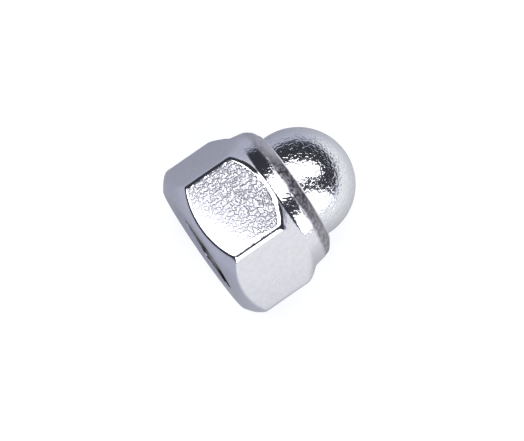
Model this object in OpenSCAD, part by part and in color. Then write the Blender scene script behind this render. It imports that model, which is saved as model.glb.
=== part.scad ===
// Domed cap nut with a locking ring. The nut body is a cold-formed hexagon whose thin
// collar is rolled over the flange of a deep-drawn dome cap, with a polyamide ring trapped
// between the two. The nut lies on one flat: the thread axis is +X, the bearing face is at
// X = 0 and the dome points along +X. All sizes are in millimetres.

/* [Thread] */
// Nominal diameter of the thread
thread_d = 8; // [6:0.1:8.6]
// Pitch of the thread
thread_pitch = 1.25; // [0.75:0.05:1.5]
// Height of the threaded stretch, from the bearing face to the seat of the locking ring
thread_h = 6.4; // [5:0.1:10]
// Width of the countersink at the mouth, beyond the thread on each side
countersink_w = 0.1; // [0.05:0.05:0.5]
// Full angle of the countersink cone
countersink_angle = 120; // [90:5:140]

/* [Hexagon] */
// Width across the flats
across_flats = 13; // [12:0.1:16]
// Radius of the rounded corners between the flats
corner_round = 0.6; // [0.2:0.05:1.2]
// How far the bearing face stops short of the flats
bearing_step = 0.6; // [0.3:0.05:1]
// Height of the base chamfer at the corners
base_chamfer_h = 1.4; // [0.8:0.05:2]
// Height of the shoulder chamfer at the corners
shoulder_h = 1.4; // [0.8:0.05:2]
// How far the base chamfer swells beyond a straight cone
base_bulge = 0.08; // [0.02:0.01:0.15]
// How far the shoulder chamfer swells beyond a straight cone
shoulder_bulge = 0.02; // [0.01:0.01:0.1]

/* [Collar] */
// Wall of the collar around the locking ring, at its foot
collar_wall = 0.84; // [0.5:0.02:1]
// Length of the collar, from the shoulder to the rolled lip
collar_h = 1.25; // [0.4:0.05:2]
// How much the collar narrows over that length, on each side
collar_taper = 0.22; // [0.05:0.01:0.4]
// Thickness of the rolled lip at its edge
lip_t = 0.7; // [0.3:0.05:0.9]
// Height over which the collar rolls in to the lip
lip_rise = 0.9; // [0.85:0.05:1.4]
// How far the rolled lip swells beyond a straight cone
lip_bulge = 0.22; // [0.05:0.01:0.3]
// Gap between the edge of the lip and the bend of the dome cap
lip_gap = 0.05; // [0.02:0.01:0.2]

/* [Locking ring] */
// Height of the ring
ring_h = 1.6; // [1:0.1:2.5]
// How much narrower the hole of the ring is than the thread
ring_grip = 0.8; // [0.2:0.05:1]
// Chamfer at both ends of the hole
ring_chamfer = 0.3; // [0.1:0.05:0.5]
// Radial clearance of the ring and of the flange in the collar
seat_clearance = 0.05; // [0.02:0.01:0.15]

/* [Dome cap] */
// Radial room between the bolt and the inside of the dome
bolt_clearance = 0.33; // [0.1:0.01:0.6]
// Thickness of the drawn sheet
sheet_t = 0.5; // [0.3:0.05:0.7]
// Width of the flange that the lip holds
flange_w = 0.72; // [0.5:0.02:1.2]
// Outside radius of the bend between the flange and the neck
bend_r = 0.15; // [0.1:0.01:0.25]
// Height of the neck, from the flange to the start of the dome
neck_h = 1.2; // [0.9:0.05:3]

/* [Hidden] */
$fn = 96;

// Overlap that lets a cut pass clean through a face
past = 0.5;
// How far the flats trim the circles of the rounded corners
corner_trim = 0.005;
// How far the cone of the collar runs on down inside the shoulder
collar_root = 0.04;
// How far the core of the collar ends from the start of the lip
core_step = 0.01;

// Radii from the thread outwards: the bolt clears the dome, and the collar holds its flange
hollow_r = thread_d / 2 + bolt_clearance;
dome_r = hollow_r + sheet_t;
seated_r = dome_r + flange_w;
recess_r = seated_r + seat_clearance;
collar_r = recess_r + collar_wall;
collar_top_r = collar_r - collar_taper;
lip_r = dome_r + bend_r + lip_gap;
ring_hole_r = (thread_d - ring_grip) / 2;

// Hexagon
flat_r = across_flats / 2;
sharp_r = flat_r / cos(30);
bearing_r = flat_r - bearing_step;

// Levels along the thread axis, from the bearing face upwards
flange_level = thread_h + ring_h;
lip_level = flange_level + sheet_t;
lip_top = lip_level + lip_t;
collar_top = lip_top - lip_rise;
hex_h = collar_top - collar_h;
spring_level = lip_level + neck_h;

// Bore: the plain wall stands at the crests of an ISO metric nut thread
thread_triangle = thread_pitch * cos(30);
minor_r = thread_d / 2 - 5 / 8 * thread_triangle;
mouth_r = thread_d / 2 + countersink_w;
countersink_h = (mouth_r - minor_r) / tan(countersink_angle / 2);

// Chords of the swelling edges, each as [radius, level] from bottom to top
base_chord = [[bearing_r, 0], [sharp_r, base_chamfer_h]];
shoulder_chord = [[sharp_r, hex_h - shoulder_h], [collar_r, hex_h]];
lip_chord = [[collar_top_r, collar_top], [lip_r, lip_top]];

// Radius of the arc over a chord that swells outwards by bulge
function arc_radius(chord, bulge) =
    (pow(norm(chord[1] - chord[0]) / 2, 2) + pow(bulge, 2)) / (2 * bulge);

// Centre of that arc, on the side of the thread axis
function arc_centre(chord, bulge) =
    let (along = (chord[1] - chord[0]) / norm(chord[1] - chord[0]),
         outward = [along[1], -along[0]])
    (chord[0] + chord[1]) / 2 - outward * (arc_radius(chord, bulge) - bulge);

// Angle between the thread axis and that arc at its lower end
function arc_start(chord, bulge) =
    let (along = chord[1] - chord[0])
    atan2(-along[0], along[1]) - asin(norm(along) / 2 / arc_radius(chord, bulge));

// Disc whose edge is the arc
module arc_disc(chord, bulge) {
    translate(arc_centre(chord, bulge))
        circle(r = arc_radius(chord, bulge));
}

// Lays the nut down on a flat, from an upright thread axis
module lay_down() {
    rotate([0, 90, 0])
        children();
}

// Hexagon with rounded corners and two of its flats across X. The flats trim the corner
// circles by a hair, so that each arc ends at a clean edge.
module rounded_hexagon() {
    centre_r = (flat_r - corner_round) / cos(30);
    chord_r = centre_r + corner_round * cos(30);
    intersection() {
        rotate(30)
            circle(r = sharp_r, $fn = 6);
        union() {
            circle(r = chord_r / cos(30), $fn = 6);
            for (corner = [0:5])
                rotate(30 + 60 * corner)
                    translate([centre_r, 0])
                        circle(r = corner_round + corner_trim);
        }
    }
}

// Half section that trims the hexagon to its two chamfers and ends inside the collar
module chamfer_section() {
    middle = hex_h / 2;
    reach = sharp_r + past;
    intersection() {
        square([reach, collar_top]);
        union() {
            arc_disc(base_chord, base_bulge);
            translate([0, middle])
                square([reach, collar_top - middle]);
        }
        union() {
            arc_disc(shoulder_chord, shoulder_bulge);
            square([reach, middle]);
        }
    }
}

// Half section of the tapered collar and its rolled lip, which starts inside the hexagon.
// The core under the lip's disc ends just below the start of the lip, or just above it where
// the disc sets out along a flatter line than the taper, so the disc or the taper covers it.
module collar_section() {
    middle = hex_h / 2;
    slope = collar_taper / collar_h;
    below = arc_start(lip_chord, lip_bulge) > atan(slope);
    core_top = collar_top + (below ? -core_step : core_step);
    intersection() {
        polygon([
            [0, middle],
            [collar_r - past, middle],
            [collar_r + slope * collar_root, hex_h - collar_root],
            [collar_r - slope * (lip_top - hex_h), lip_top],
            [0, lip_top]
        ]);
        union() {
            arc_disc(lip_chord, lip_bulge);
            translate([0, middle - past])
                square([collar_r + past, core_top - middle + past]);
        }
    }
}

// Half section of everything that is hollow in the nut body
module bore_section() {
    polygon([
        [0, -past],
        [mouth_r, -past],
        [mouth_r, 0],
        [minor_r, countersink_h],
        [minor_r, thread_h],
        [recess_r, thread_h],
        [recess_r, lip_level],
        [lip_r, lip_level],
        [lip_r, lip_top + past],
        [0, lip_top + past]
    ]);
}

// Half section of the drawn sheet: flange, bend, neck and dome
module dome_section() {
    mouth_round = bend_r + sheet_t;
    difference() {
        union() {
            translate([0, flange_level])
                square([seated_r, sheet_t]);
            translate([0, flange_level])
                square([dome_r, spring_level - flange_level]);
            translate([dome_r, lip_level])
                square(bend_r);
            translate([0, spring_level])
                intersection() {
                    circle(r = dome_r);
                    square(dome_r);
                }
        }
        translate([dome_r + bend_r, lip_level + bend_r])
            circle(r = bend_r);
        translate([0, flange_level - past])
            square([hollow_r, spring_level - flange_level + past]);
        translate([0, spring_level])
            circle(r = hollow_r);
        difference() {
            translate([hollow_r - past, flange_level - past])
                square(mouth_round + past);
            translate([hollow_r + mouth_round, flange_level + mouth_round])
                circle(r = mouth_round);
        }
    }
}

// Zinc-plated steel hexagon with its collar rolled over the flange of the dome cap
module nut_body() {
    color([0.74, 0.75, 0.79])
        lay_down()
            difference() {
                union() {
                    intersection() {
                        linear_extrude(lip_top)
                            rounded_hexagon();
                        rotate_extrude()
                            chamfer_section();
                    }
                    rotate_extrude()
                        collar_section();
                }
                rotate_extrude()
                    bore_section();
            }
}

// Polyamide ring that the bolt cuts its own thread into
module locking_ring() {
    color([0.92, 0.91, 0.86])
        lay_down()
            rotate_extrude()
                polygon([
                    [ring_hole_r + ring_chamfer, thread_h],
                    [seated_r, thread_h],
                    [seated_r, flange_level],
                    [ring_hole_r + ring_chamfer, flange_level],
                    [ring_hole_r, flange_level - ring_chamfer],
                    [ring_hole_r, thread_h + ring_chamfer]
                ]);
}

// Zinc-plated sheet steel dome that covers the end of the bolt
module dome_cap() {
    color([0.78, 0.79, 0.82])
        lay_down()
            rotate_extrude()
                dome_section();
}

nut_body();
locking_ring();
dome_cap();
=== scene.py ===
"""Looks of a domed cap nut: zinc-plated body, drawn dome and polyamide locking ring."""
import math

import bmesh
import bpy
import numpy as np
from mathutils import Matrix, Vector, noise


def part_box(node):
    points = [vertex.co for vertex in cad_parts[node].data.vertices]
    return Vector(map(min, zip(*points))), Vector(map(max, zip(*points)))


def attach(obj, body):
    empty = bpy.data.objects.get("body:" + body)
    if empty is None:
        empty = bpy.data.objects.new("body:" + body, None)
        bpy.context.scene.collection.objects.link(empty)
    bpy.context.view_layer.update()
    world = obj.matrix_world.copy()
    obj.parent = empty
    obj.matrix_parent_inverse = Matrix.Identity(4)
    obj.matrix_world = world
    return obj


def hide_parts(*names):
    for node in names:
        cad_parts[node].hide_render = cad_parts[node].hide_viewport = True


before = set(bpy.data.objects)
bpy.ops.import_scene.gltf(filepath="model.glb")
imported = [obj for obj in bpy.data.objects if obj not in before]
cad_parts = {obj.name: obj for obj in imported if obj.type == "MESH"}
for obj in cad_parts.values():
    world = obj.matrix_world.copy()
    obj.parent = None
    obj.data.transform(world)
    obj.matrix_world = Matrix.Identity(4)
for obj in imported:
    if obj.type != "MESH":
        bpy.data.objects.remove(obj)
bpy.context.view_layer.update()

# Millimetres are the unit of every size below, and the scene is in metres
MM = 0.001

# Main sizes, read from the frame
body_low, body_high = (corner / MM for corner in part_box("nut_body"))
ring_low, _ = (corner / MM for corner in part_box("locking_ring"))
dome_low, dome_high = (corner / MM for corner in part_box("dome_cap"))
FLAT_R = body_high.z
FLOOR_LEVEL = body_low.z
LIP_TOP = body_high.x
SEAT_LEVEL = ring_low.x
FLANGE_LEVEL = dome_low.x
SEATED_R = dome_high.z
TIP_LEVEL = dome_high.x

# A full turn, and the angles between two flats and between a flat and a corner
TURN = 2 * math.pi
SIXTH = math.radians(60)
HALF_SIXTH = SIXTH / 2

# Thread and mouth. The crests and roots of an ISO metric thread are shares of its pitch
THREAD_D = 8.0
PITCH = 1.25
CREST_SHARE = 1 / 4
ROOT_SHARE = 1 / 8
FLANK_SHARE = (1 - CREST_SHARE - ROOT_SHARE) / 2
COUNTERSINK_W = 0.1
COUNTERSINK_ANGLE = math.radians(120)
MAJOR_R = THREAD_D / 2
MINOR_R = MAJOR_R - 2 * FLANK_SHARE * PITCH * math.cos(HALF_SIXTH)
MOUTH_R = MAJOR_R + COUNTERSINK_W
COUNTERSINK_H = (MOUTH_R - MINOR_R) / math.tan(COUNTERSINK_ANGLE / 2)
# Share of a turn by which the thread starts away from the top flat
THREAD_START = 0.75

# Hexagon and its chamfers
CORNER_ROUND = 0.7
BEARING_STEP = 0.6
BASE_CHAMFER_H = 1.4
SHOULDER_H = 1.4
BASE_BULGE = 0.08
SHOULDER_BULGE = 0.02
BEARING_R = FLAT_R - BEARING_STEP
SHARP_R = FLAT_R / math.cos(HALF_SIXTH)
# Radius to the centre of a rounded corner, and the angle from the middle of a flat to its start
CORNER_CENTRE_R = (FLAT_R - CORNER_ROUND) / math.cos(HALF_SIXTH)
CORNER_START = math.atan2((FLAT_R - CORNER_ROUND) * math.tan(HALF_SIXTH), FLAT_R)

# Dome cap
SHEET_T = 0.5
FLANGE_W = 0.72
BEND_R = 0.15
DOME_R = SEATED_R - FLANGE_W
HOLLOW_R = DOME_R - SHEET_T
SPRING_LEVEL = TIP_LEVEL - DOME_R

# Collar and rolled lip
SEAT_CLEARANCE = 0.05
COLLAR_WALL = 0.84
COLLAR_H = 1.25
COLLAR_TAPER = 0.22
LIP_RISE = 0.9
LIP_BULGE = 0.22
LIP_GAP = 0.05
RECESS_R = SEATED_R + SEAT_CLEARANCE
COLLAR_R = RECESS_R + COLLAR_WALL
COLLAR_TOP_R = COLLAR_R - COLLAR_TAPER
LIP_R = DOME_R + BEND_R + LIP_GAP
LIP_LEVEL = FLANGE_LEVEL + SHEET_T
COLLAR_TOP = LIP_TOP - LIP_RISE
HEX_H = COLLAR_TOP - COLLAR_H

# Locking ring
RING_GRIP = 0.8
RING_CHAMFER = 0.3
RING_HOLE_R = MAJOR_R - RING_GRIP / 2

# Meshes: columns around each piece, and rows along the thread and over a rounded edge
FLAT_COLUMNS = 48
CORNER_COLUMNS = 6
DOME_COLUMNS = 240
RING_COLUMNS = 144
ROWS_PER_PITCH = 14
ROUND_ROWS = 5
# Largest share of a stretch that the rounding at one of its ends takes
ROUND_SHARE = 0.48
# Edges between faces that turn by more than this stay sharp
SHARP_ANGLE = math.radians(38)
# Points closer than this are one vertex
MERGE = 1e-4 * MM


def arc_over(chord, bulge):
    """Centre and radius of the arc over a chord of (radius, level) points that swells outwards."""
    first, last = np.array(chord)
    along = last - first
    half = np.linalg.norm(along) / 2
    radius = (half**2 + bulge**2) / (2 * bulge)
    outward = np.array([along[1], -along[0]]) / (2 * half)
    return (first + last) / 2 - outward * (radius - bulge), radius


BASE_ARC = arc_over([(BEARING_R, 0), (SHARP_R, BASE_CHAMFER_H)], BASE_BULGE)
SHOULDER_ARC = arc_over([(SHARP_R, HEX_H - SHOULDER_H), (COLLAR_R, HEX_H)], SHOULDER_BULGE)
LIP_ARC = arc_over([(COLLAR_TOP_R, COLLAR_TOP), (LIP_R, LIP_TOP)], LIP_BULGE)


def on_arc(arc, radius, side):
    """Level of the point at a radius on an arc, on its upper (1) or lower (-1) side."""
    (centre_r, centre_level), arc_r = arc
    return centre_level + side * np.sqrt(arc_r**2 - (radius - centre_r) ** 2)


def pair(radius, level, angles):
    """A (radius, level) point for each angle."""
    return np.stack(np.broadcast_arrays(radius + 0 * angles, level + 0 * angles))


def straight(start, end):
    """A straight stretch of a section as a function of its share from 0 to 1, and its length."""
    start, end = np.array(start, float), np.array(end, float)
    length = np.linalg.norm(end - start, axis=0)
    return (lambda share: start + (end - start) * share), length


def curved(arc, start, end):
    """The stretch of an arc between two of its points, as a function and its length."""
    centre, radius = arc
    first = np.arctan2(start[1] - centre[1], start[0] - centre[0])
    last = np.arctan2(end[1] - centre[1], end[0] - centre[0])

    def point(share):
        angle = first + (last - first) * share
        return np.stack([centre[0] + radius * np.cos(angle), centre[1] + radius * np.sin(angle)])

    return point, radius * np.abs(last - first)


def rounded_edge(before, corner, after):
    """The rows between two rows of a smooth curve that rounds off the corner between them."""
    return [
        before * (1 - share) ** 2 + 2 * corner * share * (1 - share) + after * share**2
        for share in (step / ROUND_ROWS for step in range(1, ROUND_ROWS))
    ]


def section_rows(stretches, rounds):
    """Rows of (radius, level) along stretches, with each edge between two of them rounded.

    stretches holds (function, length, rows) and rounds the reach of each edge's rounding. The
    second result is the number of the stretch that each row is on, and a half more on an edge.
    """
    rows, owners = [], []
    lengths = [length for _, length, _ in stretches]
    to_edge = [np.minimum(reach, ROUND_SHARE * length) for reach, length in zip(rounds, lengths)]
    from_edge = [np.minimum(reach, ROUND_SHARE * length) for reach, length in zip(rounds, lengths[1:])]
    for number, (point, length, count) in enumerate(stretches):
        first = from_edge[number - 1] / length if number else 0 * length
        last = 1 - (to_edge[number] / length if number < len(rounds) else 0 * length)
        for step in range(count):
            rows.append(point(first + (last - first) * step / (count - 1)))
            owners.append(number)
        if number < len(rounds):
            following, next_length, _ = stretches[number + 1]
            after = following(from_edge[number] / next_length)
            edge = rounded_edge(rows[-1], point(1 + 0 * length), after)
            rows += edge
            owners += [number + 0.5] * len(edge)
    return np.stack(rows), np.array(owners)


def revolved(rows, angles):
    """Points of a grid: rows of (radius, level) around the thread axis, which is X."""
    radius, level = rows[:, 0], rows[:, 1]
    points = [level + 0 * angles, radius * np.sin(angles), radius * np.cos(angles)]
    return np.stack(np.broadcast_arrays(*points), -1)


def mesh_from_grids(name, grids, attributes):
    """One closed mesh from grids of points that meet at their borders, with values per point."""
    quads, start = [], 0
    for grid in grids:
        rows, columns, _ = grid.shape
        index = start + np.arange(rows * columns).reshape(rows, columns)
        corners = [index[:-1, :-1], index[:-1, 1:], index[1:, 1:], index[1:, :-1]]
        quads.append(np.stack(corners, -1).reshape(-1, 4))
        start += rows * columns
    points = np.concatenate([grid.reshape(-1, 3) for grid in grids]) * MM
    mesh = bpy.data.meshes.new(name)
    mesh.from_pydata(points.tolist(), [], np.concatenate(quads).tolist())
    for key, values in attributes.items():
        layer = mesh.attributes.new(key, "FLOAT", "POINT")
        layer.data.foreach_set("value", np.concatenate(values).astype(np.float32))
    form = bmesh.new()
    form.from_mesh(mesh)
    bmesh.ops.remove_doubles(form, verts=form.verts, dist=MERGE)
    bmesh.ops.recalc_face_normals(form, faces=form.faces)
    form.to_mesh(mesh)
    form.free()
    mesh.shade_smooth()
    mesh.set_sharp_from_angle(angle=SHARP_ANGLE)
    piece = bpy.data.objects.new(name, mesh)
    bpy.context.scene.collection.objects.link(piece)
    return piece


def sector_angles():
    """Angles around the hexagon, closer together on the rounded corners, from corner to corner."""
    one = np.concatenate([
        np.linspace(-HALF_SIXTH, -CORNER_START, CORNER_COLUMNS, endpoint=False),
        np.linspace(-CORNER_START, CORNER_START, FLAT_COLUMNS, endpoint=False),
        np.linspace(CORNER_START, HALF_SIXTH, CORNER_COLUMNS, endpoint=False),
    ])
    around = np.concatenate([one + SIXTH * sector for sector in range(6)])
    return np.append(around, around[0] + TURN)


def off_middle(angles):
    """Angle from the middle of the nearest flat."""
    return np.abs((angles + HALF_SIXTH) % SIXTH - HALF_SIXTH)


def hexagon_radius(angles):
    """Radius of the rounded hexagon at each angle from the middle of the top flat."""
    off = off_middle(angles)
    across = CORNER_CENTRE_R * np.sin(HALF_SIXTH - off)
    inside = np.clip(CORNER_ROUND**2 - across**2, 0, None)
    rounded = CORNER_CENTRE_R * np.cos(HALF_SIXTH - off) + np.sqrt(inside)
    return np.where(off > CORNER_START, rounded, FLAT_R / np.cos(off))


def cone_radius(level):
    """Radius of the countersink at a level, running on inwards past the end of its cone."""
    return MOUTH_R + (MINOR_R - MOUTH_R) * level / COUNTERSINK_H


def thread_radius(angles, level):
    """Radius of the bore: a right-hand thread opened out by the countersink."""
    turn = (level / PITCH + angles / TURN + THREAD_START) % 1
    rise = np.clip((turn - CREST_SHARE) / FLANK_SHARE, 0, 1)
    fall = np.clip((1 - turn) / FLANK_SHARE, 0, 1)
    wall = MINOR_R + (MAJOR_R - MINOR_R) * np.minimum(rise, fall)
    return np.maximum(wall, cone_radius(level))


def thread_grid(angles):
    """Grid of the threaded bore, whose rows run along the helix and end at the two faces."""
    turns = SEAT_LEVEL / PITCH + 1
    start = angles[0] / TURN
    steps = np.arange(math.ceil(turns * ROWS_PER_PITCH) + 1) / ROWS_PER_PITCH
    level = PITCH * (steps[:, None] + start - angles[None, :] / TURN)
    level = np.clip(level, 0, SEAT_LEVEL)
    radius = thread_radius(angles[None, :], level)
    return revolved(np.stack([radius, level], 1), angles)


# Stretches of the body's section, from the mouth round the outside to the thread: the rows of
# each, the unevenness of its skin and the reach of the rounding at its end. The skin of the
# flat comes from FLAT_PEEL instead.
BODY_STRETCHES = {
    "bearing": {"rows": 8, "peel": 0.04, "round": 0.14},
    "base": {"rows": 12, "peel": 0.02, "round": 0.22},
    "flat": {"rows": 46, "peel": 0, "round": 0.4},
    "shoulder": {"rows": 12, "peel": 0.02, "round": 0.16},
    "collar": {"rows": 11, "peel": 0.045, "round": 0.25},
    "lip": {"rows": 16, "peel": 0.06, "round": 0.08},
    "lip_edge": {"rows": 4, "peel": 0.05, "round": 0.06},
    "lip_under": {"rows": 2, "peel": 0, "round": 0.06},
    "recess": {"rows": 3, "peel": 0, "round": 0.06},
    "seat": {"rows": 3, "peel": 0},
}

# How uneven the skin of each flat is, from the top flat on around the hexagon. It fades to the
# skin of the corners over a small angle, which ends short of the corner's middle
FLAT_PEEL = [1.0, 0.025, 0.06, 0.2, 0.06, 0.015]
CORNER_PEEL = 0.015
PEEL_END = math.radians(28.2)
PEEL_FADE = math.radians(1.5)

# Bore: the unevenness of its skin, and the depth over which the countersink turns into thread
BORE_PEEL = 0.05
BORE_FADE = 0.05

# Dents that the tumbling barrel leaves in the top flat. They fade out towards its corners, set in
# at a level and reach their full depth a rise further on, near the collar
DENT_DEPTH = 0.09
DENT_SIZE = 0.8
DENT_END = math.radians(27)
DENT_FADE = math.radians(6)
DENT_LEVEL = 1.5
DENT_RISE = 3.5

# Waves of the rolled lip
WAVE_DEPTH = 0.075
WAVE_SIZE = 0.42
# How far the scuffs of the rolling tool reach down the collar, and over what height they fade in
SCUFF_REACH = 0.3
SCUFF_FADE = 0.25


def unevenness(points, size):
    """Smooth noise from 0 to 1 at each point, whose swells are about as wide as size."""
    places = points.reshape(-1, 3) / size
    values = np.array([noise.noise(Vector(place)) for place in places])
    return np.clip(0.5 + values, 0, 1).reshape(points.shape[:-1])


def flat_peel(angles):
    """Unevenness of the skin at each angle, smooth on the rounded corners."""
    number = np.floor((angles + HALF_SIXTH) / SIXTH).astype(int) % 6
    inner = np.clip((PEEL_END - off_middle(angles)) / PEEL_FADE, 0, 1)
    return CORNER_PEEL + (np.array(FLAT_PEEL)[number] - CORNER_PEEL) * inner


def worn_in(rows, angles, flat, lip):
    """The rows moved inwards by the dents of the top flat and by the waves of the lip."""
    points = revolved(rows, angles)
    off_top = np.abs((angles + math.pi) % TURN - math.pi)
    top = np.clip((DENT_END - off_top) / DENT_FADE, 0, 1)
    near_collar = np.clip((points[..., 0] - DENT_LEVEL) / DENT_RISE, 0, 1)
    dents = DENT_DEPTH * flat[:, None] * top * near_collar * unevenness(points, DENT_SIZE)
    waves = WAVE_DEPTH * lip[:, None] * unevenness(points, WAVE_SIZE)
    moved = rows.copy()
    moved[:, 0] -= dents + waves
    return moved


def body_section(angles):
    """Stretches of the body's section at each angle, as (function, length, rows)."""
    hexagon = hexagon_radius(angles)
    mouth = pair(MOUTH_R, 0, angles)
    bearing_edge = pair(BEARING_R, 0, angles)
    base_edge = np.stack([hexagon, on_arc(BASE_ARC, hexagon, -1)])
    shoulder_edge = np.stack([hexagon, on_arc(SHOULDER_ARC, hexagon, 1)])
    collar_foot = pair(COLLAR_R, HEX_H, angles)
    collar_edge = pair(COLLAR_TOP_R, COLLAR_TOP, angles)
    lip_edge = pair(LIP_R, LIP_TOP, angles)
    lip_under = pair(LIP_R, LIP_LEVEL, angles)
    recess_top = pair(RECESS_R, LIP_LEVEL, angles)
    recess_foot = pair(RECESS_R, SEAT_LEVEL, angles)
    seat_edge = pair(thread_radius(angles, SEAT_LEVEL), SEAT_LEVEL, angles)
    shapes = {
        "bearing": straight(mouth, bearing_edge),
        "base": curved(BASE_ARC, bearing_edge, base_edge),
        "flat": straight(base_edge, shoulder_edge),
        "shoulder": curved(SHOULDER_ARC, shoulder_edge, collar_foot),
        "collar": straight(collar_foot, collar_edge),
        "lip": curved(LIP_ARC, collar_edge, lip_edge),
        "lip_edge": straight(lip_edge, lip_under),
        "lip_under": straight(lip_under, recess_top),
        "recess": straight(recess_top, recess_foot),
        "seat": straight(recess_foot, seat_edge),
    }
    return [(*shapes[name], stretch["rows"]) for name, stretch in BODY_STRETCHES.items()]


def on_stretches(owners, values):
    """A value for each row, from values of named stretches: halfway on an edge, 0 where none is given."""
    known = [values.get(name, 0) for name in BODY_STRETCHES]
    return np.interp(owners, np.arange(len(known)), known)


def lip_share(rows, owners):
    """How much each row looks like the rolled lip, whose scuffs fade in up the collar."""
    scuffed = np.clip((rows[:, 1].mean(axis=1) - COLLAR_TOP + SCUFF_REACH) / SCUFF_FADE, 0, 1)
    past_lip = on_stretches(owners, {"lip": 1, "lip_edge": 1, "lip_under": 1})
    return np.where(owners <= list(BODY_STRETCHES).index("lip"), scuffed, past_lip)


def bore_share(bore):
    """How much each point of the bore looks like thread, and not like the countersink's cone."""
    radius = np.hypot(bore[..., 1], bore[..., 2])
    return np.clip((radius - cone_radius(bore[..., 0])) / BORE_FADE, 0, 1)


def nut_body():
    """The cold-formed body as one closed mesh, from the mouth round the outside to the thread."""
    angles = sector_angles()
    rounds = [stretch["round"] for stretch in BODY_STRETCHES.values() if "round" in stretch]
    rows, owners = section_rows(body_section(angles), rounds)
    flat = on_stretches(owners, {"flat": 1})
    rolled = on_stretches(owners, {"lip": 1})
    off_flat = on_stretches(owners, {name: stretch["peel"] for name, stretch in BODY_STRETCHES.items()})
    peel = off_flat[:, None] + (flat == 1)[:, None] * flat_peel(angles)[None, :]
    outside = revolved(worn_in(rows, angles, flat, rolled), angles)
    bore = thread_grid(angles)
    threaded = bore_share(bore)
    values = {
        "peel": [peel.ravel(), np.full(threaded.size, BORE_PEEL)],
        "lip": [np.repeat(lip_share(rows, owners), len(angles)), np.zeros(threaded.size)],
        "bore": [np.zeros(peel.size), threaded.ravel()],
    }
    return mesh_from_grids("nut_body_formed", [outside, bore], values)


# Rows of the dome's stretches, the rounding of its rim and the unevenness of its skin
FLANGE_ROWS = 4
BEND_ROWS = 5
NECK_ROWS = 10
DOME_ROWS = 78
INNER_DOME_ROWS = 40
INNER_NECK_ROWS = 5
MOUTH_ROWS = 8
RIM_ROUND = 0.08
DOME_PEEL = 1.0
INNER_DOME_PEEL = 0.4


def dome_cap():
    """The drawn dome as one closed sheet: flange, bend, neck and dome, outside and inside."""
    angles = np.linspace(0, TURN, DOME_COLUMNS + 1)
    one = np.zeros(1)
    bend_arc = (np.array([DOME_R + BEND_R, LIP_LEVEL + BEND_R]), BEND_R)
    outer_arc = (np.array([0, SPRING_LEVEL]), DOME_R)
    inner_arc = (np.array([0, SPRING_LEVEL]), HOLLOW_R)
    mouth_round = BEND_R + SHEET_T
    mouth_arc = (np.array([HOLLOW_R + mouth_round, FLANGE_LEVEL + mouth_round]), mouth_round)
    rim_low = pair(SEATED_R, FLANGE_LEVEL, one)
    rim_high = pair(SEATED_R, LIP_LEVEL, one)
    bend_start = pair(DOME_R + BEND_R, LIP_LEVEL, one)
    bend_end = pair(DOME_R, LIP_LEVEL + BEND_R, one)
    spring = pair(DOME_R, SPRING_LEVEL, one)
    tip = pair(0, TIP_LEVEL, one)
    inner_tip = pair(0, TIP_LEVEL - SHEET_T, one)
    inner_spring = pair(HOLLOW_R, SPRING_LEVEL, one)
    mouth_high = pair(HOLLOW_R, FLANGE_LEVEL + mouth_round, one)
    mouth_low = pair(HOLLOW_R + mouth_round, FLANGE_LEVEL, one)
    outer = [
        (*straight(mouth_low, rim_low), FLANGE_ROWS),
        (*straight(rim_low, rim_high), FLANGE_ROWS),
        (*straight(rim_high, bend_start), FLANGE_ROWS),
        (*curved(bend_arc, bend_start, bend_end), BEND_ROWS),
        (*straight(bend_end, spring), NECK_ROWS),
        (*curved(outer_arc, spring, tip), DOME_ROWS),
    ]
    inner = [
        (*curved(inner_arc, inner_tip, inner_spring), INNER_DOME_ROWS),
        (*straight(inner_spring, mouth_high), INNER_NECK_ROWS),
        (*curved(mouth_arc, mouth_high, mouth_low), MOUTH_ROWS),
    ]
    outer_rows, _ = section_rows(outer, [RIM_ROUND, RIM_ROUND, 0, 0, 0])
    inner_rows, _ = section_rows(inner, [0, 0])
    grids = [revolved(outer_rows, angles), revolved(inner_rows, angles)]
    skins = [DOME_PEEL, INNER_DOME_PEEL]
    peel = [np.full(grid.shape[0] * grid.shape[1], skin) for grid, skin in zip(grids, skins)]
    return mesh_from_grids("dome_cap_drawn", grids, {"peel": peel})


# Rows of each stretch of the ring, and the rounding of its edges
RING_ROWS = 4
RING_ROUND = 0.08


def locking_ring():
    """The moulded ring with its two chamfers at the hole and softly rounded edges."""
    angles = np.linspace(0, TURN, RING_COLUMNS + 1)
    one = np.zeros(1)
    wide = RING_HOLE_R + RING_CHAMFER
    corners = [
        pair(RING_HOLE_R, SEAT_LEVEL + RING_CHAMFER, one),
        pair(wide, SEAT_LEVEL, one),
        pair(SEATED_R, SEAT_LEVEL, one),
        pair(SEATED_R, FLANGE_LEVEL, one),
        pair(wide, FLANGE_LEVEL, one),
        pair(RING_HOLE_R, FLANGE_LEVEL - RING_CHAMFER, one),
        pair(RING_HOLE_R, SEAT_LEVEL + RING_CHAMFER, one),
    ]
    stretches = [(*straight(first, last), RING_ROWS) for first, last in zip(corners, corners[1:])]
    rows, _ = section_rows(stretches, [RING_ROUND] * (len(stretches) - 1))
    return mesh_from_grids("locking_ring_moulded", [revolved(rows, angles)], {})


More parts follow.
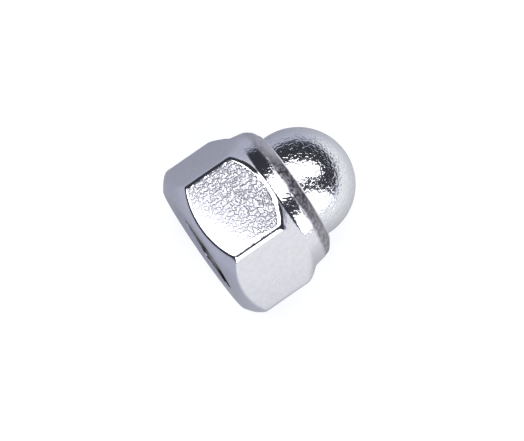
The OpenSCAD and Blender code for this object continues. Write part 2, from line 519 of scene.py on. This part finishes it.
class Nodes:
    """Short ways to add nodes to a material's or the world's tree."""

    def __init__(self, tree):
        self.tree = tree
        tree.nodes.clear()

    def add(self, kind, inputs=(), **settings):
        """A node with its settings, and its inputs set to values or linked to sockets."""
        node = self.tree.nodes.new("ShaderNode" + kind)
        for key, value in settings.items():
            setattr(node, key, value)
        for key, value in dict(inputs).items():
            if isinstance(value, bpy.types.NodeSocket):
                self.tree.links.new(value, node.inputs[key])
            else:
                node.inputs[key].default_value = value
        return node

    def math(self, operation, first, second):
        return self.add("Math", {0: first, 1: second}, operation=operation).outputs[0]

    def vector(self, operation, first, second):
        """A vector worked out from two others."""
        return self.add("VectorMath", {0: first, 1: second}, operation=operation).outputs[0]

    def scaled(self, vector, scale):
        return self.add("VectorMath", {0: vector, "Scale": scale}, operation="SCALE").outputs[0]

    def dot(self, first, second):
        node = self.add("VectorMath", {0: first, 1: second}, operation="DOT_PRODUCT")
        return node.outputs["Value"]

    def length(self, vector):
        return self.add("VectorMath", {0: vector}, operation="LENGTH").outputs["Value"]

    def ramp(self, value, low, high, low_to=0.0, high_to=1.0):
        """A smooth step from one value to another as the input goes from low to high."""
        inputs = {"Value": value, "From Min": low, "From Max": high, "To Min": low_to, "To Max": high_to}
        return self.add("MapRange", inputs, interpolation_type="SMOOTHSTEP").outputs["Result"]

    def millimetres(self):
        """The place on the piece, in millimetres."""
        return self.scaled(self.add("TexCoord").outputs["Object"], 1 / MM)

    def noise(self, place, scale, detail=3.0):
        inputs = {"Vector": place, "Scale": scale, "Detail": detail}
        return self.add("TexNoise", inputs).outputs["Fac"]

    def attribute(self, name):
        return self.add("Attribute", attribute_name=name).outputs["Fac"]

    def near_line(self, place, start, end, width):
        """1 on the line between two points, fading to 0 within a width of it."""
        start, along = Vector(start), Vector(end) - Vector(start)
        off = self.vector("SUBTRACT", place, start)
        share = self.dot(off, along / along.length_squared)
        held = self.add("Clamp", {"Value": share}).outputs[0]
        nearest = self.scaled(along, held)
        apart = self.add("VectorMath", {0: off, 1: nearest}, operation="DISTANCE").outputs["Value"]
        return self.ramp(apart, 0.0, width, 1.0, 0.0)

    def blend(self, share, first, second):
        """A colour between two, by a share."""
        return self.add("Mix", {0: share, 6: first, 7: second}, data_type="RGBA").outputs[2]

    def together(self, shaders):
        """All the shaders added up."""
        total = shaders[0].outputs[0]
        for shader in shaders[1:]:
            total = self.add("AddShader", {0: total, 1: shader.outputs[0]}).outputs[0]
        return total


def new_material(name):
    """A material with an empty tree, and the ways to fill it."""
    material = bpy.data.materials.new(name)
    material.use_nodes = True
    return material, Nodes(material.node_tree)


# Range that holds most values of a noise
NOISE_RANGE = (0.3, 0.7)

# Finish of each plated piece: its colour, the depth and scale of its skin's grain, how much the
# grain dulls it, and a few scratches of handling, each from one point to another
BODY_FINISH = {
    "colour": (0.78, 0.78, 0.855),
    "peel_depth": 0.16,
    "peel_scale": 3.7,
    "dullness": 0.42,
    "scratches": [((2.93, -6.13, 2.38), (3.64, -6.01, 2.59))],
}
DOME_FINISH = {
    "colour": (0.8, 0.81, 0.875),
    "peel_depth": 0.014,
    "peel_scale": 3.8,
    "dullness": 0.03,
    "scratches": [
        ((12.53, 1.64, 3.55), (12.93, 1.2, 3.39)),
        ((13.17, -2.02, 2.69), (13.31, -2.38, 2.16)),
    ],
}
SCRATCH_WIDTH = 0.08
SCRATCH_DEPTH = 0.012

# The grain steps between two heights, and is rougher towards the collar and the far side
GRAIN_DETAIL = 1.0
GRAIN_STEP = (0.38, 0.62)
ROUGHER_SIDE = (0.78, 0.36, 0)
ROUGHER_REACH = (0.3, 4.7)
SMOOTHEST_SHARE = 0.06

# Roughness of the plating, which varies finely, and what the oil in the bore adds to it
FINE_SCALE = 14.0
PLATE_ROUGHNESS = (0.07, 0.14)
OILED_ROUGHNESS = 0.18
# Painted shade: the thread in the bore is coloured dark, as shade falls deep inside it
BORE_SHADE_COLOUR = (0.3, 0.3, 0.33, 1)

# Clouds in the plating, with their share of its colour
CLOUD_SCALE = 2.2
CLOUD_DETAIL = 4.0
CLOUD_SHADE = 0.94

# Streaks on the rolled lip are short along the thread axis and long around it
LIP_STREAK = (9.0, 1.5, 1.5)
STREAK_HEIGHT = 0.5
STREAK_STEP = (0.35, 0.65)
LIP_ROUGHNESS = (0.2, 0.35)

# Colour of the lip: painted shade darkens it in mottled blotches, fully in a band across the middle,
# a little less on the near side, and not on the far side, which stays pale. The reaches are places across
# the nut, along Y
LIP_COLOUR = (0.66, 0.64, 0.7, 1)
LIP_SHADE_BLOTCH_COLOUR = (0.09, 0.084, 0.11, 1)
BLOTCH_SCALE = 3.2
BLOTCH_STEP = (0.4, 0.62)
BLOTCH_PALE = 0.6
NEAR_SHADE_REACH = (-5.2, -2.0)
NEAR_SHADE_SHARE = 0.7
FAR_SHADE_END = (0.3, 2.6)


def skin_grain(nodes, place, peel, scale):
    """Height of the skin's grain."""
    steps = nodes.ramp(nodes.noise(place, scale, GRAIN_DETAIL), *GRAIN_STEP)
    along = nodes.ramp(nodes.dot(place, ROUGHER_SIDE), *ROUGHER_REACH, SMOOTHEST_SHARE, 1.0)
    return nodes.math("MULTIPLY", nodes.math("MULTIPLY", steps, peel), along)


def scratched(nodes, place, height, scratches, depth):
    """The height less a groove along each scratch, in shares of the skin's depth."""
    for start, end in scratches:
        mark = nodes.near_line(place, start, end, SCRATCH_WIDTH)
        groove = nodes.math("MULTIPLY", mark, SCRATCH_DEPTH / depth)
        height = nodes.math("SUBTRACT", height, groove)
    return height


def plate_colour(nodes, place, colour):
    """Colour of the plating, slightly darker in clouds."""
    clouds = nodes.noise(place, CLOUD_SCALE, CLOUD_DETAIL)
    hazy = [CLOUD_SHADE * channel for channel in colour]
    return nodes.blend(nodes.ramp(clouds, *NOISE_RANGE), (*colour, 1), (*hazy, 1))


def lip_colour(nodes, place):
    """Colour of the rolled lip, darkened by painted shade in mottled blotches."""
    across = nodes.add("SeparateXYZ", {0: place}).outputs["Y"]
    mottled = nodes.ramp(nodes.noise(place, BLOTCH_SCALE), *BLOTCH_STEP, 1.0, BLOTCH_PALE)
    # Painted shade: a dark share set by place along Y, full across the middle, less on the near side and
    # none on the far side, mottled in blotches
    blotched_shade = nodes.math("MULTIPLY", nodes.ramp(across, *NEAR_SHADE_REACH, NEAR_SHADE_SHARE, 1.0), mottled)
    worn = nodes.math("MULTIPLY", blotched_shade, nodes.ramp(across, *FAR_SHADE_END, 1.0, 0.0))
    return nodes.blend(worn, LIP_COLOUR, LIP_SHADE_BLOTCH_COLOUR)


def zinc(name, colour, peel_depth, peel_scale, dullness, scratches):
    """Bright zinc plating over formed steel, with the small unevenness of the barrel-plated skin."""
    material, nodes = new_material(name)
    place = nodes.millimetres()
    peel = nodes.attribute("peel")
    lip = nodes.attribute("lip")
    bore = nodes.attribute("bore")
    streaks = nodes.noise(nodes.vector("MULTIPLY", place, LIP_STREAK), 1.0)
    ridges = nodes.math("MULTIPLY", streaks, nodes.math("MULTIPLY", lip, STREAK_HEIGHT))
    height = nodes.math("ADD", skin_grain(nodes, place, peel, peel_scale), ridges)
    height = scratched(nodes, place, height, scratches, peel_depth)
    bump = nodes.add("Bump", {"Strength": 1.0, "Distance": peel_depth * MM, "Height": height})
    fine = nodes.ramp(nodes.noise(place, FINE_SCALE), *NOISE_RANGE, *PLATE_ROUGHNESS)
    worn = nodes.math("MULTIPLY", lip, nodes.ramp(streaks, *STREAK_STEP, *LIP_ROUGHNESS))
    oiled = nodes.math("MULTIPLY", bore, OILED_ROUGHNESS)
    dulled = nodes.math("MULTIPLY", peel, dullness)
    rough = nodes.math("ADD", nodes.math("ADD", fine, worn), nodes.math("ADD", oiled, dulled))
    plated = nodes.blend(lip, plate_colour(nodes, place, colour), lip_colour(nodes, place))
    # The thread's dark base colour is painted shade
    shader = nodes.add("BsdfPrincipled", {
        "Base Color": nodes.blend(bore, plated, BORE_SHADE_COLOUR),
        "Metallic": 1.0,
        "Roughness": rough,
        "Normal": bump.outputs["Normal"],
    })
    nodes.add("OutputMaterial", {"Surface": shader.outputs[0]})
    return material


# Polyamide: its colour, its moulded grain, and how far light goes into it
RING_COLOUR = (0.86, 0.84, 0.76, 1)
RING_GRAIN_SCALE = 6.0
RING_GRAIN_DEPTH = 0.01
RING_GRAIN_STRENGTH = 0.6
RING_ROUGHNESS = (0.35, 0.5)
RING_GLOW = 0.2
RING_GLOW_DEPTH = 0.6


def polyamide():
    """Natural polyamide: warm white, slightly see-through, with a fine moulded grain."""
    material, nodes = new_material("polyamide")
    grain = nodes.noise(nodes.millimetres(), RING_GRAIN_SCALE)
    bump = nodes.add("Bump", {
        "Strength": RING_GRAIN_STRENGTH,
        "Distance": RING_GRAIN_DEPTH * MM,
        "Height": grain,
    })
    shader = nodes.add("BsdfPrincipled", {
        "Base Color": RING_COLOUR,
        "Roughness": nodes.ramp(grain, *NOISE_RANGE, *RING_ROUGHNESS),
        "Subsurface Weight": RING_GLOW,
        "Subsurface Scale": RING_GLOW_DEPTH * MM,
        "Normal": bump.outputs["Normal"],
    })
    nodes.add("OutputMaterial", {"Surface": shader.outputs[0]})
    return material


def dress(piece, node, material):
    """Stands a finished piece in for its CAD node."""
    piece.data.materials.append(material)
    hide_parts(node)
    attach(piece, "root")


# Camera: towards the viewer, as tilts away from the upright, and the roll of the thread axis
TILT_ABOUT_AXIS = math.radians(12.93)
TILT_TO_BASE = math.radians(5.18)
AXIS_ROLL = math.radians(34.65)
CAMERA_DISTANCE = 218.78
CAMERA_LENS = 179.22
CAMERA_NEAR = 10
CAMERA_FAR = 10000
# Point of the thread axis near the middle of the picture, and the picture's centre from there
AXIS_POINT = Vector((6, 0, 0))
CENTRE_RIGHT = -0.0046
CENTRE_UP = -0.9337


def camera():
    """The camera at the photo's angle."""
    towards = Vector((
        -math.sin(TILT_TO_BASE),
        -math.cos(TILT_TO_BASE) * math.sin(TILT_ABOUT_AXIS),
        math.cos(TILT_TO_BASE) * math.cos(TILT_ABOUT_AXIS),
    ))
    thread_axis = Vector((1, 0, 0))
    along = (thread_axis - towards * thread_axis.dot(towards)).normalized()
    across = towards.cross(along)
    right = along * math.cos(AXIS_ROLL) - across * math.sin(AXIS_ROLL)
    up = along * math.sin(AXIS_ROLL) + across * math.cos(AXIS_ROLL)
    centre = AXIS_POINT + right * CENTRE_RIGHT + up * CENTRE_UP
    place = (centre + towards * CAMERA_DISTANCE) * MM
    data = bpy.data.cameras.new("camera")
    data.lens = CAMERA_LENS
    data.clip_start = CAMERA_NEAR * MM
    data.clip_end = CAMERA_FAR * MM
    viewer = bpy.data.objects.new("camera", data)
    bpy.context.scene.collection.objects.link(viewer)
    turn = Matrix((right, up, towards)).transposed().to_4x4()
    viewer.matrix_world = Matrix.Translation(place) @ turn
    bpy.context.scene.camera = viewer


# Floor: its own colour takes the light and the shadow, the rest makes it read as white paper.
# What the nut mirrors of it has a painted shadow near the nut and painted light towards one side
FLOOR_SIZE = 3000
FLOOR_COLOUR = (0.28, 0.29, 0.33, 1)
FLOOR_WHITE = 0.75
FLOOR_GLOSSY = 0.18
FLOOR_GLOSSY_COLOUR = (0.93, 0.97, 1.1, 1)
FLOOR_SHADE_NEAR = 0.45
FLOOR_SHADE_REACH = (12, 45)
FLOOR_SIDE_PAINTED_LIGHT = 0.46
FLOOR_SIDE_LIGHT_COLOUR = (1.03, 1.01, 0.8, 1)
FLOOR_BRIGHT_SIDE = (0.65, -0.76, 0)
FLOOR_SIDE_REACH = (-5, 34)


def floor_paper():
    """White paper for the camera; what the nut mirrors has a painted shadow near it and painted light to
    one side.
    """
    material, nodes = new_material("floor_paper")
    rays = nodes.add("LightPath").outputs
    place = nodes.millimetres()
    seen = nodes.math("MULTIPLY", rays["Is Camera Ray"], FLOOR_WHITE)
    mirrored = nodes.math("MAXIMUM", rays["Is Glossy Ray"], rays["Is Transmission Ray"])
    # Painted shadow near the nut and painted light towards one side, in what the nut mirrors of the floor
    near = FLOOR_SHADE_NEAR * FLOOR_GLOSSY
    shade = nodes.ramp(nodes.length(place), *FLOOR_SHADE_REACH, near, FLOOR_GLOSSY)
    side = nodes.ramp(nodes.dot(place, FLOOR_BRIGHT_SIDE), *FLOOR_SIDE_REACH, 0.0, FLOOR_SIDE_PAINTED_LIGHT)
    reflected = nodes.math("MULTIPLY", mirrored, shade)
    side_painted_light = nodes.math("MULTIPLY", mirrored, side)
    surface = nodes.together([
        nodes.add("BsdfDiffuse", {"Color": FLOOR_COLOUR}),
        nodes.add("Emission", {"Strength": seen}),
        nodes.add("Emission", {"Color": FLOOR_GLOSSY_COLOUR, "Strength": reflected}),
        nodes.add("Emission", {"Color": FLOOR_SIDE_LIGHT_COLOUR, "Strength": side_painted_light}),
    ])
    nodes.add("OutputMaterial", {"Surface": surface})
    return material


def floor():
    """A wide plain floor that the nut lies on."""
    mesh = bpy.data.meshes.new("floor")
    half, level = FLOOR_SIZE / 2 * MM, FLOOR_LEVEL * MM
    corners = [(-half, -half, level), (half, -half, level), (half, half, level), (-half, half, level)]
    mesh.from_pydata(corners, [], [(0, 1, 2, 3)])
    mesh.materials.append(floor_paper())
    piece = bpy.data.objects.new("floor", mesh)
    bpy.context.scene.collection.objects.link(piece)


# Studio light as panes far away. Each pane is a polygon seen from the nut, given by the
# directions that its edges face inwards, with the brightness of the pane
TOP_PANE = {
    "edges": [(-0.535, -0.85, 0.6), (-0.75, 0.71, 1), (0.33, 1, 0.126), (1, 0, 0.7), (0, -1, 1)],
    "strength": 3.2,
}
SIDE_PANE = {
    "edges": [(-0.84, -0.545, 0), (-0.613, -0.685, -0.45), (0.707, -0.707, 0), (0, 0.08, 1)],
    "strength": 2.6,
}
PANE_SOFTNESS = 0.03
# The room around the panes is brightest at the horizon and darkens as it rises
HORIZON_STRENGTH = 0.46
HORIZON_RISE = (0.02, 0.2)
ROOM_STRENGTH = 0.045
ROOM_COLOUR = (0.9, 0.95, 1.12, 1)
WHITE = (1, 1, 1, 1)


def pane(nodes, direction, edges, strength):
    """Brightness of a pane of light in each direction."""
    share = strength
    for edge in edges:
        facing = nodes.dot(direction, Vector(edge).normalized())
        inside = nodes.ramp(facing, -PANE_SOFTNESS, PANE_SOFTNESS)
        share = nodes.math("MULTIPLY", inside, share)
    return share


def studio():
    """The light of the panes and the room, with plain white behind the floor for the camera."""
    world = bpy.data.worlds.new("studio")
    world.use_nodes = True
    bpy.context.scene.world = world
    nodes = Nodes(world.node_tree)
    direction = nodes.add("TexCoord").outputs["Generated"]
    rise = nodes.add("SeparateXYZ", {0: direction}).outputs["Z"]
    room = nodes.ramp(rise, *HORIZON_RISE, HORIZON_STRENGTH, ROOM_STRENGTH)
    top = pane(nodes, direction, **TOP_PANE)
    side = pane(nodes, direction, **SIDE_PANE)
    rays = nodes.add("LightPath").outputs
    lit = nodes.together([
        nodes.add("Background", {"Color": WHITE, "Strength": nodes.math("ADD", top, side)}),
        nodes.add("Background", {"Color": ROOM_COLOUR, "Strength": room}),
    ])
    white = nodes.add("Background", {"Color": WHITE, "Strength": 1.0})
    shown = nodes.add("MixShader", {0: rays["Is Camera Ray"], 1: lit, 2: white.outputs[0]})
    nodes.add("OutputWorld", {"Surface": shown.outputs[0]})


camera()
floor()
studio()
dress(nut_body(), "nut_body", zinc("body_zinc", **BODY_FINISH))
dress(dome_cap(), "dome_cap", zinc("dome_zinc", **DOME_FINISH))
dress(locking_ring(), "locking_ring", polyamide())

bpy.context.scene.view_settings.view_transform = "Standard"
